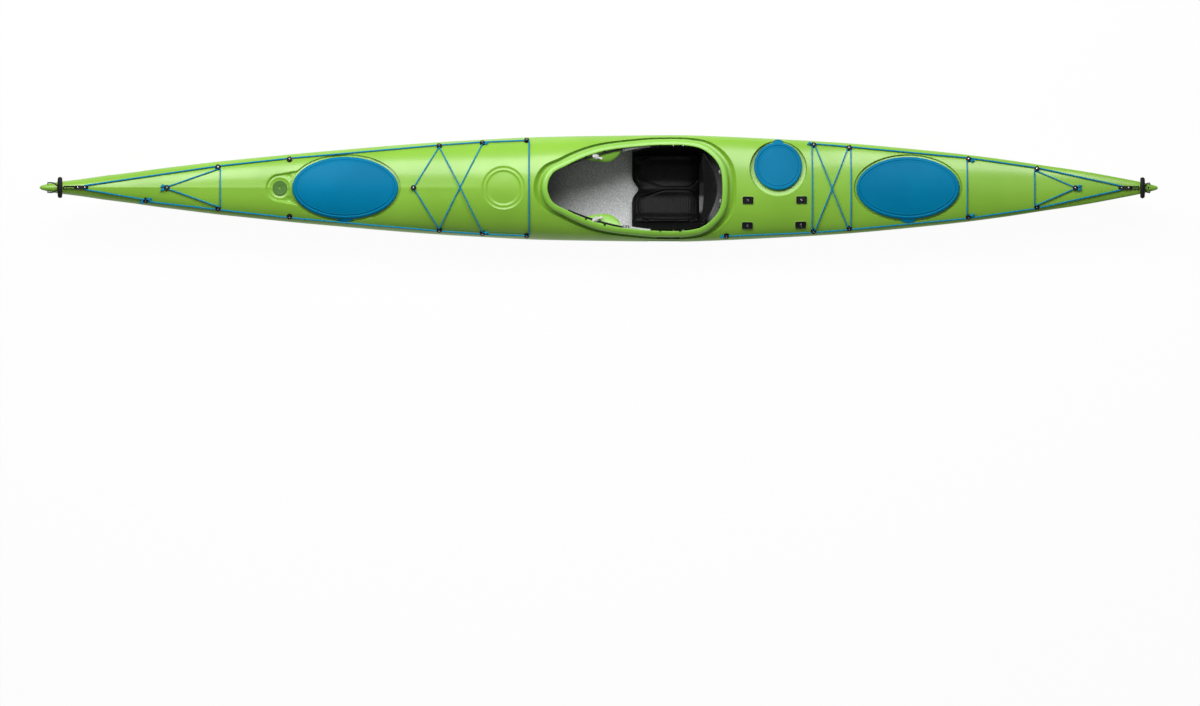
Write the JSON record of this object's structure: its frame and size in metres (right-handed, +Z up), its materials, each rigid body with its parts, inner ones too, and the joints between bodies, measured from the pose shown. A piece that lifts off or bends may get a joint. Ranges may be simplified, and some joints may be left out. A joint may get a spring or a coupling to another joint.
{
  "type": "sea kayak",
  "caption": "Long narrow touring kayak with an oval cockpit, a padded seat, sealed hatches, a drop skeg, deck lines and end toggles.",
  "frame": {"origin": "centre of the hull in plan, on the plane that the keel rests on", "axes": "+X along the boat towards the stern, +Y to starboard, +Z up; the bow is at -X"},
  "size_m": [5.3, 0.5075, 0.3497],
  "materials": {
    "hull_moulding": "glossy green gelcoat over a moulded laminate",
    "hatch_lid": "soft blue moulded rubber with a fine satin grain",
    "seat_pad": "black padded cover with moulded ribs",
    "seat_pan": "black moulded tray",
    "backrest": "dark grey woven cover with black piping",
    "bulkhead": "grey painted laminate",
    "skeg": "dark moulded plastic",
    "skeg_slider": "black moulded plastic",
    "toggle_cord": "thin black braided cord",
    "toggle": "black soft-grip moulding",
    "footrest": "dark anodised rail with a plastic pedal",
    "deck_cord": "blue braided cord",
    "deck_plate": "black moulded pad",
    "deck_fitting": "black moulded plastic with a steel screw"
  },
  "bodies": {
    "boat": {"aft_bungee": "deck_cord", "aft_deck_line": "deck_cord", "aftdeck_fitting_1_port": "deck_fitting", "aftdeck_fitting_1_starboard": "deck_fitting", "aftdeck_fitting_2_port": "deck_fitting", "aftdeck_fitting_2_starboard": "deck_fitting", "aftdeck_fitting_3_port": "deck_fitting", "aftdeck_fitting_3_starboard": "deck_fitting", "aftdeck_fitting_4_port": "deck_fitting", "aftdeck_fitting_4_starboard": "deck_fitting", "bow_bulkhead": "bulkhead", "bow_bungee": "deck_cord", "bow_centre_fitting": "deck_fitting", "bow_end_fitting": "deck_fitting", "bow_port_line_fitting": "deck_fitting", "cockpit_bulkhead": "bulkhead", "cockpit_coaming": "hull_moulding", "cockpit_fitting_port": "deck_fitting", "deck_plate_front_inner": "deck_plate", "deck_plate_front_outer": "deck_plate", "deck_plate_rear_inner": "deck_plate", "deck_plate_rear_outer": "deck_plate", "deck_shell": "hull_moulding", "footrest_rail_port": "footrest", "footrest_rail_starboard": "footrest", "fore_deck_line": "deck_cord", "foredeck_bungee": "deck_cord", "foredeck_centre_fitting": "deck_fitting", "foredeck_fitting_1_port": "deck_fitting", "foredeck_fitting_1_starboard": "deck_fitting", "foredeck_fitting_2_port": "deck_fitting", "foredeck_fitting_2_starboard": "deck_fitting", "foredeck_fitting_3_port": "deck_fitting", "foredeck_fitting_3_starboard": "deck_fitting", "foredeck_fitting_4_port": "deck_fitting", "foredeck_fitting_4_starboard": "deck_fitting", "foredeck_fitting_5_port": "deck_fitting", "foredeck_fitting_5_starboard": "deck_fitting", "hull_shell": "hull_moulding", "seat_pad": "seat_pad", "seat_pan": "seat_pan", "skeg_box": "skeg", "skeg_slider_housing": "skeg_slider", "stern_bulkhead": "bulkhead", "stern_bungee": "deck_cord", "stern_centre_fitting": "deck_fitting", "stern_end_fitting": "deck_fitting", "stern_hatch_cord": "deck_cord"},
    "bow_lid": {"bow_hatch_lid": "hatch_lid"},
    "stern_lid": {"stern_hatch_lid": "hatch_lid"},
    "day_lid": {"day_hatch_lid": "hatch_lid"},
    "backrest": {"backrest": "backrest"},
    "pedal_starboard": {"foot_pedal_starboard": "footrest"},
    "pedal_port": {"foot_pedal_port": "footrest"},
    "skeg_blade": {"skeg_blade": "skeg"},
    "skeg_knob": {"skeg_slider_knob": "skeg_slider"},
    "bow_toggle": {"bow_toggle": "toggle", "bow_toggle_cord": "toggle_cord"},
    "stern_toggle": {"stern_toggle": "toggle", "stern_toggle_cord": "toggle_cord"}
  },
  "joints": [
    {"name": "bow_lid_lift", "type": "slide", "parent": "boat", "child": "bow_lid", "axis": [0, 0, 1], "range_m": [0, 0.06]},
    {"name": "stern_lid_lift", "type": "slide", "parent": "boat", "child": "stern_lid", "axis": [0, 0, 1], "range_m": [0, 0.06]},
    {"name": "day_lid_lift", "type": "slide", "parent": "boat", "child": "day_lid", "axis": [0, 0, 1], "range_m": [0, 0.06]},
    {"name": "backrest_pivot", "type": "hinge", "parent": "boat", "child": "backrest", "pos_m": [0.50018, 0, 0.112], "axis": [0, -1, 0], "range_deg": [0, 40]},
    {"name": "pedal_starboard_slide", "type": "slide", "parent": "boat", "child": "pedal_starboard", "axis": [0.9957, 0.0929, 0], "range_m": [-0.15, 0.15]},
    {"name": "pedal_port_slide", "type": "slide", "parent": "boat", "child": "pedal_port", "axis": [0.9957, -0.0929, 0], "range_m": [-0.15, 0.15]},
    {"name": "skeg_pivot", "type": "hinge", "parent": "boat", "child": "skeg_blade", "pos_m": [1.7755, 0, 0.05298], "axis": [0, 1, 0], "range_deg": [0, 55]},
    {"name": "skeg_knob_slide", "type": "slide", "parent": "boat", "child": "skeg_knob", "axis": [1, 0, 0], "range_m": [0, 0.064]},
    {"name": "bow_toggle_swing", "type": "hinge", "parent": "boat", "child": "bow_toggle", "pos_m": [-2.61025, 0, 0.31108], "axis": [0, -1, 0], "range_deg": [0, 100]},
    {"name": "stern_toggle_swing", "type": "hinge", "parent": "boat", "child": "stern_toggle", "pos_m": [2.61025, 0, 0.25164], "axis": [0, 1, 0], "range_deg": [0, 100]}
  ],
  "couplings": [
    {"joint": "skeg_knob_slide", "follows": "skeg_pivot", "m_per_rad": 0.0665}
  ]
}
